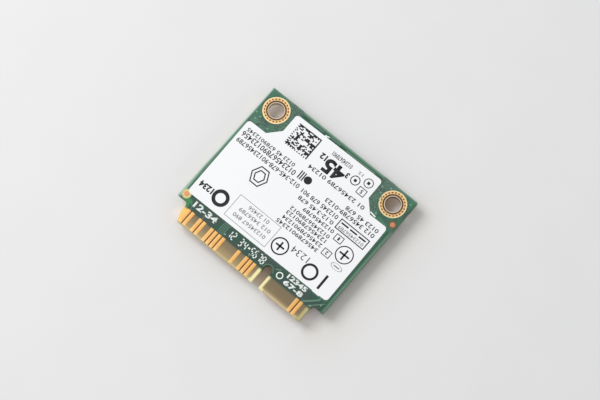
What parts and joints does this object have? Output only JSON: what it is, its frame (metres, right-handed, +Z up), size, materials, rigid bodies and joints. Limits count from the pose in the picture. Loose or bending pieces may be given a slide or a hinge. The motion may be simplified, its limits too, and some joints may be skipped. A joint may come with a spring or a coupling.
{
  "type": "wireless network card",
  "caption": "Half-length wireless network card: a green circuit board with a keyed gold contact edge, two screw holes, a printed label, and a shielded chip side with antenna sockets.",
  "frame": {"origin": "on the shield lid's flat face, under the middle of the board's outline", "axes": "+Z up through the label side, +X along the contact edge towards the short row of contacts, -Y out of the contact edge"},
  "size_m": [0.03, 0.0268, 0.0025],
  "materials": {
    "laminate": "glass-fibre laminate, sawn edges",
    "green_mask": "green solder mask, satin",
    "gold": "thin gold plate, slightly worn",
    "bare_copper": "bare copper",
    "label_paper": "white label stock, satin",
    "tinned_steel": "tinned sheet, satin",
    "socket_plastic": "moulded, ivory",
    "chip_black": "moulded epoxy, matte",
    "inductor_grey": "pressed ferrite",
    "crystal_metal": "plated lid on ceramic",
    "filter_ceramic": "white ceramic",
    "capacitor_ceramic": "brown ceramic",
    "solder_tin": "tinned, with solder"
  },
  "bodies": {
    "root": {"board": "laminate", "label_side_mask": "green_mask", "component_side_mask": "green_mask", "label_side_contacts": "gold", "component_side_contacts": "gold", "left_screw_land": "gold", "right_screw_land": "gold", "alignment_dots": "bare_copper", "label": "label_paper", "shield_frame": "tinned_steel", "shield_lid": "tinned_steel", "left_socket_base": "socket_plastic", "left_socket_shell": "gold", "left_socket_pin": "gold", "right_socket_base": "socket_plastic", "right_socket_shell": "gold", "right_socket_pin": "gold", "radio_chip": "chip_black", "regulator_chip": "chip_black", "power_inductor": "inductor_grey", "memory_chip": "chip_black", "crystal": "crystal_metal", "left_amplifier": "chip_black", "right_amplifier": "chip_black", "left_filter": "filter_ceramic", "right_filter": "filter_ceramic", "capacitor_bodies": "capacitor_ceramic", "capacitor_ends": "solder_tin", "resistor_bodies": "chip_black", "resistor_ends": "solder_tin"}
  },
  "joints": []
}
